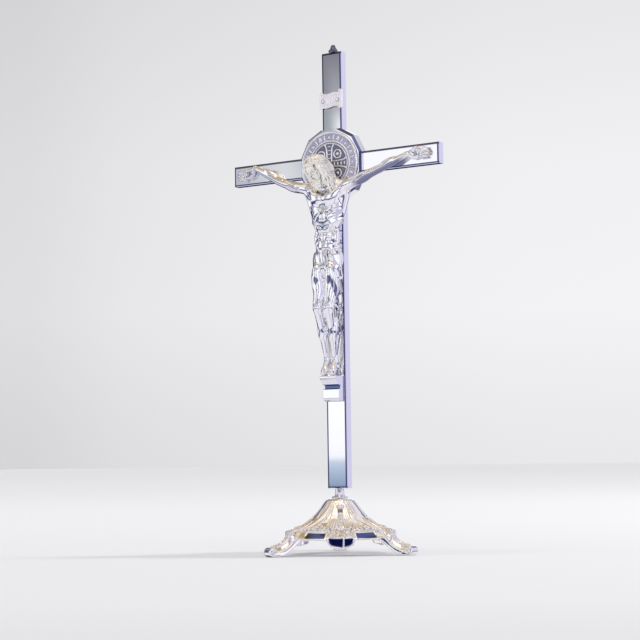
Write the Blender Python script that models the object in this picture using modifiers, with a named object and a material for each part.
"""Standing altar crucifix: a bevelled cross with a round medal, a cast figure, and a three-legged base.

Units are millimetres in the numbers below and metres in the scene. +Z is up, the front of the cross faces -Y,
and the origin is on the floor under the middle of the whole object. The cross turns about +Z on the stud that stands
in the base. Every shape is laid out from the stem's axis, and two empties on that axis carry the stand and the cross.
"""

import math

import bmesh
import bpy
from mathutils import Matrix, Vector

MM = 0.001
GAP = 0.2  # clearance between neighbouring pieces
TURN_GAP = 0.3  # clearance where the cross turns on the stud

# Cross: two flat bars half-lapped at the crossing, front edges chamfered.
POST_W, BAR_T = 11.8, 4.4
POST_BOTTOM, POST_TOP = 32.5, 252.3
ARM_REACH, ARM_H, CROSS_Z = 62.0, 10.4, 194.7
CHAMFER = 0.6
FRONT, BACK = -BAR_T / 2, BAR_T / 2

# Twelve-sided boss over the crossing, and its round medal.
BOSS_FRONT = -4.4
BOSS_CORNERS = [(5.9, 18.1), (13.6, 13.9), (18.3, 5.15)]
MEDAL_R, MEDAL_T, MEDAL_FRONT = 16.8, 1.0, -4.9

# Stem and base.
STUD_R, STUD_FOOT, STUD_TOP = 1.2, 15.5, 43.5
DOME_TOP = 27.4
WALL = 1.6
LEG_ANGLES = [-26.0, 94.0, 214.0]  # from the front (-Y) towards +X
STEM_Y = 1.3  # the stem stands this far behind the middle of the whole object

# Footrest.
REST_HALF_W = 4.8
REST_TOP = 88.2

for old in list(bpy.data.objects):
    bpy.data.objects.remove(old, do_unlink=True)


def new_collection(name):
    made = bpy.data.collections.new(name)
    bpy.context.scene.collection.children.link(made)
    return made


PARTS = new_collection("altar_crucifix")
CUTTERS = new_collection("cutters")
CUTTERS.hide_render = True


def metal(name, color, roughness):
    made = bpy.data.materials.new(name)
    made.use_nodes = True
    shader = made.node_tree.nodes["Principled BSDF"]
    shader.inputs["Base Color"].default_value = (*color, 1.0)
    shader.inputs["Roughness"].default_value = roughness
    shader.inputs["Metallic"].default_value = 1.0
    made.diffuse_color = (*color, 1.0)
    return made


def in_mm(matrix):
    """The same placement, with its shift given in millimetres."""
    placed = matrix.copy()
    placed.translation = matrix.translation * MM
    return placed


def add_object(name, mesh, collection=None, material=None):
    obj = bpy.data.objects.new(name, mesh)
    (collection or PARTS).objects.link(obj)
    if material:
        mesh.materials.append(material)
    if (collection or PARTS) is CUTTERS:
        obj.hide_render = True
        obj.display_type = "WIRE"
    return obj


def finish_bmesh(bm, name, collection=None, material=None, smooth=True):
    bmesh.ops.recalc_face_normals(bm, faces=bm.faces)
    mesh = bpy.data.meshes.new(name)
    bm.to_mesh(mesh)
    bm.free()
    if smooth:
        mesh.shade_smooth()
        mesh.set_sharp_from_angle(angle=math.radians(32))
    return add_object(name, mesh, collection, material)


def block(name, low, high, collection=None, material=None, chamfer_front=0.0):
    """A box between two corners. chamfer_front bevels the four edges round its -Y face."""
    low, high = Vector(low) * MM, Vector(high) * MM
    bm = bmesh.new()
    size = high - low
    bmesh.ops.create_cube(bm, size=1.0, matrix=Matrix.Translation((low + high) / 2) @ Matrix.Diagonal((*size, 1.0)))
    if chamfer_front:
        front = [
            edge for edge in bm.edges
            if all(abs(v.co.y - low.y) < 1e-7 for v in edge.verts)
        ]
        bmesh.ops.bevel(bm, geom=front, offset=chamfer_front * MM, offset_type="OFFSET", segments=1, affect="EDGES", profile=0.5)
    return finish_bmesh(bm, name, collection, material, smooth=False)


def rod(name, radius, start, end, segments=16, collection=None, material=None):
    """A round bar between two points."""
    start, end = Vector(start) * MM, Vector(end) * MM
    along = end - start
    turn = along.to_track_quat("Z", "Y").to_matrix().to_4x4()
    bm = bmesh.new()
    bmesh.ops.create_cone(
        bm, cap_ends=True, segments=segments, radius1=radius * MM, radius2=radius * MM, depth=along.length,
        matrix=Matrix.Translation((start + end) / 2) @ turn,
    )
    return finish_bmesh(bm, name, collection, material)


def turned(name, profile, steps=32, closed=False, placement=None, collection=None, material=None):
    """A turned shape about local +Z. The profile is (radius, height), running down the outer side."""
    mesh = bpy.data.meshes.new(name)
    points = [(r * MM, 0.0, h * MM) for r, h in profile]
    edges = [(i, i + 1) for i in range(len(points) - 1)]
    if closed:
        edges.append((len(points) - 1, 0))
    mesh.from_pydata(points, edges, [])
    obj = add_object(name, mesh, collection, material)
    screw = obj.modifiers.new("turn", "SCREW")
    screw.axis = "Z"
    screw.steps = steps
    screw.render_steps = steps
    screw.use_merge_vertices = True
    screw.merge_threshold = 1e-5
    screw.use_smooth_shade = False
    if placement is not None:
        obj.matrix_world = in_mm(placement)
    return obj


def outline_solid(name, points, half, placement, bevel=0.0, bevel_segments=1, collection=None, material=None):
    """A flat outline of the given half thickness, along local Z, made into a mesh."""
    curve = bpy.data.curves.new(name + "_outline", "CURVE")
    curve.dimensions = "2D"
    curve.fill_mode = "BOTH"
    curve.extrude = half * MM
    spline = curve.splines.new("POLY")
    spline.points.add(len(points) - 1)
    for point, (x, y) in zip(spline.points, points):
        point.co = (x * MM, y * MM, 0.0, 1.0)
    spline.use_cyclic_u = True
    guide = bpy.data.objects.new(name + "_guide", curve)
    bpy.context.scene.collection.objects.link(guide)
    bpy.context.view_layer.update()
    mesh = bpy.data.meshes.new_from_object(guide.evaluated_get(bpy.context.evaluated_depsgraph_get()))
    bpy.data.objects.remove(guide, do_unlink=True)
    mesh.name = name
    bm = bmesh.new()
    bm.from_mesh(mesh)
    bmesh.ops.remove_doubles(bm, verts=bm.verts, dist=1e-6)
    bmesh.ops.recalc_face_normals(bm, faces=bm.faces)
    bm.to_mesh(mesh)
    bm.free()
    obj = add_object(name, mesh, collection, material)
    obj.matrix_world = in_mm(placement)
    if bevel:
        round_edges = obj.modifiers.new("round_edges", "BEVEL")
        round_edges.width = bevel * MM
        round_edges.segments = bevel_segments
        round_edges.limit_method = "ANGLE"
        round_edges.angle_limit = math.radians(50)
        round_edges.use_clamp_overlap = True
    return obj


def boolean(obj, other, operation="DIFFERENCE"):
    change = obj.modifiers.new(other.name, "BOOLEAN")
    change.operation = operation
    change.solver = "EXACT"
    change.object = other


def baked(obj, name, collection=None, material=None):
    """A new object from the evaluated mesh of another, which is removed."""
    bpy.context.view_layer.update()
    mesh = bpy.data.meshes.new_from_object(obj.evaluated_get(bpy.context.evaluated_depsgraph_get()))
    mesh.transform(obj.matrix_world)
    bpy.data.objects.remove(obj, do_unlink=True)
    mesh.name = name
    mesh.materials.clear()
    return add_object(name, mesh, collection, material)


# Local Z of an outline or a turned shape points to the front (-Y), local Y up.
FACING_FRONT = Matrix.Rotation(math.radians(90), 4, "X")


def facing_front(x, y, z):
    return Matrix.Translation((x, y, z)) @ FACING_FRONT


BRIGHT = metal("bright_plate", (0.86, 0.86, 0.88), 0.06)
CAST = metal("cast_plate", (0.88, 0.87, 0.86), 0.12)
BASE_PLATE = metal("base_plate", (0.87, 0.84, 0.78), 0.12)
STEEL = metal("steel", (0.62, 0.62, 0.63), 0.3)

# ---------------------------------------------------------------- cross bars
upright = block(
    "upright_bar", (-POST_W / 2, FRONT, POST_BOTTOM), (POST_W / 2, BACK, POST_TOP), material=BRIGHT, chamfer_front=CHAMFER
)
crossbar = block(
    "cross_bar", (-ARM_REACH, FRONT, CROSS_Z - ARM_H / 2), (ARM_REACH, BACK, CROSS_Z + ARM_H / 2), material=BRIGHT, chamfer_front=CHAMFER
)
# Half lap: the upright keeps its back half and the cross bar its front half.
boolean(upright, block(
    "cut_lap_front", (-9, -4, CROSS_Z - ARM_H / 2 - GAP), (9, GAP / 2, CROSS_Z + ARM_H / 2 + GAP), CUTTERS
))
boolean(crossbar, block("cut_lap_back", (-POST_W / 2 - GAP, -GAP / 2, 185), (POST_W / 2 + GAP, 4, 205), CUTTERS))
# Bore for the stud, blind, in the foot of the upright.
boolean(upright, rod("cut_stud_bore", STUD_R + TURN_GAP, (0, 0, 30), (0, 0, STUD_TOP + 0.8), 24, CUTTERS))
# Bore for the finial's spigot in the top of the upright.
boolean(upright, rod("cut_finial_bore", 1.0, (0, 0, 247.8), (0, 0, 255), 16, CUTTERS))

# ---------------------------------------------------------------- boss and medal
right = BOSS_CORNERS + [(x, -z) for x, z in reversed(BOSS_CORNERS)]
ring = right + [(-x, z) for x, z in reversed(right)]
boss_half = (BACK - BOSS_FRONT) / 2
boss = outline_solid(
    "hub_boss", ring, boss_half, facing_front(0, (BACK + BOSS_FRONT) / 2, CROSS_Z), bevel=1.1, material=BRIGHT
)
boolean(boss, block("cut_post_channel", (-POST_W / 2 - GAP, FRONT - GAP, 170), (POST_W / 2 + GAP, 5, 220), CUTTERS))
boolean(boss, block(
    "cut_arm_channel", (-25, FRONT - GAP, CROSS_Z - ARM_H / 2 - GAP), (25, 5, CROSS_Z + ARM_H / 2 + GAP), CUTTERS
))
boolean(boss, rod("cut_medal_seat", MEDAL_R + GAP, (0, BOSS_FRONT + 0.7, CROSS_Z), (0, -8, CROSS_Z), 48, CUTTERS))

medal_back = BOSS_FRONT + 0.7 - GAP
turned(
    "medal_disc",
    [
        (0, 1.25), (3.0, 1.25), (3.4, 1.0), (11.2, 1.0), (11.5, 1.3), (11.9, 1.3), (12.2, 1.0),
        (16.0, 1.0), (16.3, 1.3), (16.6, 1.3), (16.8, 1.0), (16.8, 0), (0, 0),
    ],
    steps=48, placement=facing_front(0, medal_back, CROSS_Z), material=CAST,
)


def screw_fixing(name, x, z, tip, shank_r=0.8, head_r=1.8, head_t=0.8, through=()):
    """A flat-headed screw set into the back of the bars, with its holes in every piece that it passes."""
    seat = BACK - head_t - 0.3
    turned(
        name,
        [(0, 0), (shank_r - 0.3, 0), (shank_r, -0.4), (shank_r, -(seat + GAP - tip)), (head_r, -(seat + GAP - tip)),
         (head_r, -(seat + GAP - tip) - head_t), (0, -(seat + GAP - tip) - head_t)],
        steps=16, placement=facing_front(x, tip, z), material=STEEL,
    )
    for piece in through:
        boolean(piece, rod(f"cut_{name}_{piece.name}", shank_r + GAP, (x, tip - 0.4, z), (x, BACK + 2, z), 16, CUTTERS))
    boolean(through[0], rod(f"cut_{name}_head", head_r + GAP, (x, seat, z), (x, BACK + 2, z), 20, CUTTERS))


screw_fixing("hub_screw_upper", 0, CROSS_Z + 2.9, -3.2, through=(upright, crossbar, boss))
screw_fixing("hub_screw_lower", 0, CROSS_Z - 2.9, -3.2, through=(upright, crossbar, boss))

# ---------------------------------------------------------------- title scroll
TITLE_BACK, TITLE_T = FRONT - GAP, 1.0
title = outline_solid(
    "titulus_scroll",
    [
        (-6.9, 225.0), (-6.9, 231.0), (-6.2, 231.9), (-5.4, 231.6), (-3.0, 231.2), (3.0, 231.2), (5.4, 231.9),
        (6.4, 232.2), (7.0, 231.2), (7.0, 224.6), (6.3, 223.6), (5.4, 223.7), (3.0, 223.6), (-3.0, 223.4),
        (-5.4, 223.9), (-6.3, 224.0),
    ],
    TITLE_T / 2, facing_front(0, TITLE_BACK - TITLE_T / 2, 0), bevel=0.25, material=CAST,
)
for side, x in (("left", -4.4), ("right", 4.4)):
    head_back = TITLE_BACK - TITLE_T - GAP
    turned(
        f"titulus_pin_{side}",
        [(0, 0.5), (0.45, 0.42), (0.8, 0), (0.5, 0), (0.5, -2.6), (0, -2.6)],
        steps=12, placement=facing_front(x, head_back, 227.5), material=STEEL,
    )
    for piece in (title, upright):
        boolean(piece, rod(f"cut_title_{side}_{piece.name}", 0.5 + GAP, (x, -6, 227.5), (x, head_back + 3.0, 227.5), 12, CUTTERS))

# ---------------------------------------------------------------- finial
turned(
    "top_finial",
    [
        (0, 256.6), (0.8, 256.4), (1.2, 255.7), (1.3, 255.1), (1.8, 254.3), (2.4, 253.5), (2.45, 253.0), (2.1, 252.5),
        (0.8, 252.5), (0.8, 248.4), (0, 248.4),
    ],
    steps=20, material=BRIGHT,
)

# ---------------------------------------------------------------- footrest
# Local x of the outline points to the front, local y up.
SIDEWAYS = Matrix(((0, 0, -1, 0), (-1, 0, 0, 0), (0, 1, 0, 0), (0, 0, 0, 1)))
rest_back = -FRONT + GAP
footrest = outline_solid(
    "footrest_bracket",
    [
        (rest_back, 75.6), (rest_back, REST_TOP), (9.7, REST_TOP), (9.7, 86.6), (8.9, 86.2), (7.6, 85.2), (6.6, 84.0),
        (6.3, 83.6), (6.3, 83.4), (4.9, 83.1), (4.9, 82.1), (6.3, 81.8), (6.3, 77.4), (5.0, 76.0), (3.8, 75.6),
    ],
    REST_HALF_W, SIDEWAYS, bevel=0.2, material=BRIGHT,
)
screw_fixing("footrest_screw", 0, 79.6, -5.0, through=(upright, footrest))

# ---------------------------------------------------------------- figure
ball_count = 0


def limb(bm, start, end, r_start, r_end):
    """A tapering round limb with ball ends."""
    a, b = Vector(start) * MM, Vector(end) * MM
    along = b - a
    turn = along.to_track_quat("Z", "Y").to_matrix().to_4x4()
    bmesh.ops.create_cone(
        bm, cap_ends=True, segments=20, radius1=r_start * MM, radius2=r_end * MM, depth=along.length,
        matrix=Matrix.Translation((a + b) / 2) @ turn,
    )
    for centre, r in ((a, r_start), (b, r_end)):
        bmesh.ops.create_uvsphere(bm, u_segments=20, v_segments=12, radius=r * MM, matrix=Matrix.Translation(centre))


def egg(bm, centre, radii):
    """An ellipsoid."""
    bmesh.ops.create_uvsphere(
        bm, u_segments=28, v_segments=18, radius=MM,
        matrix=Matrix.Translation(Vector(centre) * MM) @ Matrix.Diagonal((*radii, 1.0)),
    )


bm = bmesh.new()
egg(bm, (-0.2, -7.8, 171.5), (8.9, 5.3, 10.5))  # chest
egg(bm, (0.2, -7.0, 158.0), (6.7, 4.3, 8.0))  # waist
egg(bm, (0.3, -6.6, 147.0), (7.4, 4.4, 8.0))  # hips
limb(bm, (-10.0, -7.4, 182.6), (10.2, -7.4, 182.6), 3.3, 3.3)  # shoulders
limb(bm, (-0.6, -8.6, 182), (-1.4, -10.8, 188), 2.9, 2.7)  # neck
egg(bm, (-1.7, -13.6, 190.6), (5.2, 6.0, 7.0))  # head
egg(bm, (-1.4, -12.8, 194.6), (6.2, 6.3, 6.2))  # hair and headband
egg(bm, (-2.6, -17.2, 182.8), (2.9, 2.6, 3.8))  # beard
limb(bm, (2.6, -10.8, 194), (4.8, -8.9, 181), 2.6, 2.2)  # hair on the shoulder
limb(bm, (-5.0, -10.8, 193), (-6.4, -9.4, 182.5), 2.1, 1.8)
# The left wrist is held high and its hand hangs; the right arm is straighter.
for side, elbow_z, wrist_z, hand in ((-1, 189.0, 197.6, (-50.8, -4.0, 194.9)), (1, 189.3, 195.1, (50.8, -4.0, 194.9))):
    limb(bm, (side * 10.6, -7.3, 182.8), (side * 30.3, -5.9, elbow_z), 2.7, 1.95)  # upper arm
    limb(bm, (side * 30.3, -5.9, elbow_z), (side * 46.2, -4.4, wrist_z), 1.95, 1.25)  # forearm
    egg(bm, hand, (5.8, 1.35, 2.9))
for side in (-1, 1):
    limb(bm, (side * 3.7, -6.9, 145.0), (side * 3.3, -12.4, 121.8), 4.3, 3.0)  # thigh
    limb(bm, (side * 3.3, -12.2, 121.8), (side * 2.6, -9.0, 110.0), 2.9, 2.9)  # calf
    limb(bm, (side * 2.6, -9.0, 110.0), (side * 2.3, -6.3, 97.5), 2.9, 1.7)
    limb(bm, (side * 2.3, -5.9, 95.5), (side * 2.4, -8.6, 89.9), 1.9, 1.35)  # foot
egg(bm, (0.4, -6.8, 146.0), (8.1, 5.0, 7.8))  # loincloth
limb(bm, (6.6, -7.2, 150.0), (7.9, -6.4, 137.0), 1.6, 1.9)  # hanging end
rough = finish_bmesh(bm, "figure_rough", smooth=False)
remesh = rough.modifiers.new("join_up", "REMESH")
remesh.mode = "VOXEL"
remesh.voxel_size = 0.75 * MM
soften = rough.modifiers.new("soften", "SMOOTH")
soften.factor = 0.5
soften.iterations = 3
thin_out = rough.modifiers.new("thin_out", "DECIMATE")
thin_out.ratio = 0.19
corpus = baked(rough, "corpus", material=CAST)
# The back is flat where it lies on the bars, and it clears the medal and stands on the footrest.
boolean(corpus, block("cut_corpus_back", (-70, FRONT - GAP, 60), (70, 12, 240), CUTTERS))
boolean(corpus, rod("cut_corpus_medal", 19.8, (0, -5.7, CROSS_Z), (0, 3, CROSS_Z), 48, CUTTERS))
boolean(corpus, block("cut_corpus_rest", (-9, -14, 80), (9, 4, REST_TOP + GAP), CUTTERS))
screw_fixing("corpus_screw", 0, 147.5, -6.2, through=(upright, corpus))

NAIL_Z = 194.7
for side, x in (("left", -50.6), ("right", 50.6)):
    turned(
        f"hand_nail_{side}",
        [(0, 0.75), (0.6, 0.6), (1.0, 0), (0.5, 0), (0.5, -4.8), (0, -5.0)],
        steps=12, placement=facing_front(x, -5.45, NAIL_Z), material=STEEL,
    )
    for piece in (corpus, crossbar):
        boolean(piece, rod(f"cut_nail_{side}_{piece.name}", 0.5 + GAP, (x, -6.5, NAIL_Z), (x, -0.2, NAIL_Z), 12, CUTTERS))

# ---------------------------------------------------------------- base
# The bell: (height, radius towards a leg, radius at the middle of a face), down the outer side.
LEVELS = [
    (DOME_TOP, 5.0, 5.0), (26.8, 6.5, 6.3), (25.2, 7.9, 7.4), (21.7, 9.7, 8.7), (18.1, 12.9, 11.0), (15.1, 17.4, 14.0),
    (12.7, 22.6, 17.4), (10.4, 26.8, 20.8), (8.6, 28.4, 23.4),
]
RIM_LEG_R, RIM_FACE_R = 28.8, 24.8


def rim_height(face_angle):
    """Height of the scalloped lower edge. The angle is from the middle of a face, in degrees."""
    a = abs(face_angle)
    if a < 16:
        return 2.6 + 1.5 * (a / 16) ** 1.5
    if a < 20:
        return 4.1 + 2.6 * (a - 16) / 4
    if a < 42:
        return 6.7
    return 6.7 + 1.1 * min(1.0, (a - 42) / 8)


def bell_section(degrees):
    """The closed section of the bell at this direction, as (radius, height)."""
    face = (degrees - (LEG_ANGLES[0] + 60) + 60) % 120 - 60
    lobe = ((1 - math.cos(math.radians(3 * face))) / 2) ** 1.4
    outer = [(r_face + (r_leg - r_face) * lobe, z) for z, r_leg, r_face in LEVELS]
    rim_r, rim_z = RIM_FACE_R + (RIM_LEG_R - RIM_FACE_R) * lobe, rim_height(face)
    inner = [(r - WALL, z - WALL * 0.5) for r, z in reversed(outer[2:])]
    return (
        [(STUD_R + GAP + 0.1, DOME_TOP)] + outer + [(rim_r, rim_z), (rim_r - WALL, rim_z)]
        + inner + [(5.2, DOME_TOP - 2.9), (STUD_R + GAP + 0.1, DOME_TOP - 2.9)]
    )


bm = bmesh.new()
AROUND = 84
sections = []
for k in range(AROUND):
    degrees = 360.0 * k / AROUND
    a = math.radians(degrees)
    sections.append([
        bm.verts.new((r * math.sin(a) * MM, -r * math.cos(a) * MM, z * MM)) for r, z in bell_section(degrees)
    ])
for k, here in enumerate(sections):
    there = sections[(k + 1) % AROUND]
    for i in range(len(here)):
        j = (i + 1) % len(here)
        bm.faces.new((here[i], here[j], there[j], there[i]))
base = finish_bmesh(bm, "base_casting", material=BASE_PLATE)

LEG_OUTLINE = [
    (12.4, 17.4), (17.4, 15.0), (23.6, 12.6), (28.6, 11.6), (32.0, 11.3), (32.9, 10.2), (33.2, 7.9), (34.6, 6.0), (36.4, 4.8),
    (39.0, 4.5), (41.4, 4.1), (42.4, 3.2), (42.6, 2.2), (41.6, 0.8), (39.8, 0.0), (34.2, 0.0), (32.0, 0.9),
    (29.6, 3.0), (27.6, 5.2), (25.6, 6.8), (22.2, 10.2), (18.0, 13.4), (14.6, 15.6),
]
for number, degrees in enumerate(LEG_ANGLES, 1):
    a = math.radians(degrees)
    outward = Vector((math.sin(a), -math.cos(a), 0))
    up = Vector((0, 0, 1))
    across = outward.cross(up)
    placement = Matrix((
        (outward.x, up.x, across.x, 0), (outward.y, up.y, across.y, 0), (outward.z, up.z, across.z, 0), (0, 0, 0, 1)
    ))
    leg = outline_solid(f"leg_{number}", LEG_OUTLINE, 3.4, placement, bevel=0.9, bevel_segments=2, collection=CUTTERS)
    boolean(base, leg, "UNION")

# ---------------------------------------------------------------- stem
turned(
    "stem_collar",
    [
        (2.0, POST_BOTTOM - GAP - 0.1), (2.0, 30.6), (2.6, 30.2), (2.6, 29.7), (2.2, 29.3), (2.5, 28.7), (3.4, 28.3),
        (4.1, 28.1), (4.1, DOME_TOP + GAP), (STUD_R + GAP, DOME_TOP + GAP), (STUD_R + GAP, POST_BOTTOM - GAP - 0.1),
    ],
    steps=28, closed=True, material=BRIGHT,
)
turned(
    "stem_stud",
    [(0, STUD_TOP), (STUD_R - 0.3, STUD_TOP), (STUD_R, STUD_TOP - 0.5), (STUD_R, STUD_FOOT + 0.5), (STUD_R - 0.3, STUD_FOOT), (0, STUD_FOOT)],
    steps=20, material=STEEL,
)
WASHER_TOP = DOME_TOP - 2.9 - GAP
turned(
    "base_washer",
    [(4.0, WASHER_TOP), (4.0, WASHER_TOP - 0.8), (STUD_R + GAP, WASHER_TOP - 0.8), (STUD_R + GAP, WASHER_TOP)],
    steps=28, closed=True, material=STEEL,
)
NUT_TOP = WASHER_TOP - 0.8 - GAP
nut = rod("base_nut", 2.9, (0, 0, NUT_TOP - 2.2), (0, 0, NUT_TOP), 6, material=STEEL)
boolean(nut, rod("cut_nut_bore", STUD_R + GAP, (0, 0, NUT_TOP - 4), (0, 0, NUT_TOP + 2), 20, CUTTERS))

# The stand, and the cross with all that is fixed to it, hang from two empties on the turning axis.
pivot = bpy.data.objects.new("cross_turn", None)
stand = bpy.data.objects.new("stand", None)
for empty in (pivot, stand):
    PARTS.objects.link(empty)
    empty.location = (0.0, STEM_Y * MM, 0.0)
STAND = {"base_casting", "base_washer", "base_nut", "stem_stud", "stem_collar"}
bpy.context.view_layer.update()
for obj in list(PARTS.objects) + list(CUTTERS.objects):
    if obj in (pivot, stand):
        continue
    standing = obj.name in STAND or obj.name.startswith("leg_") or obj.name == "cut_nut_bore"
    obj.parent = stand if standing else pivot
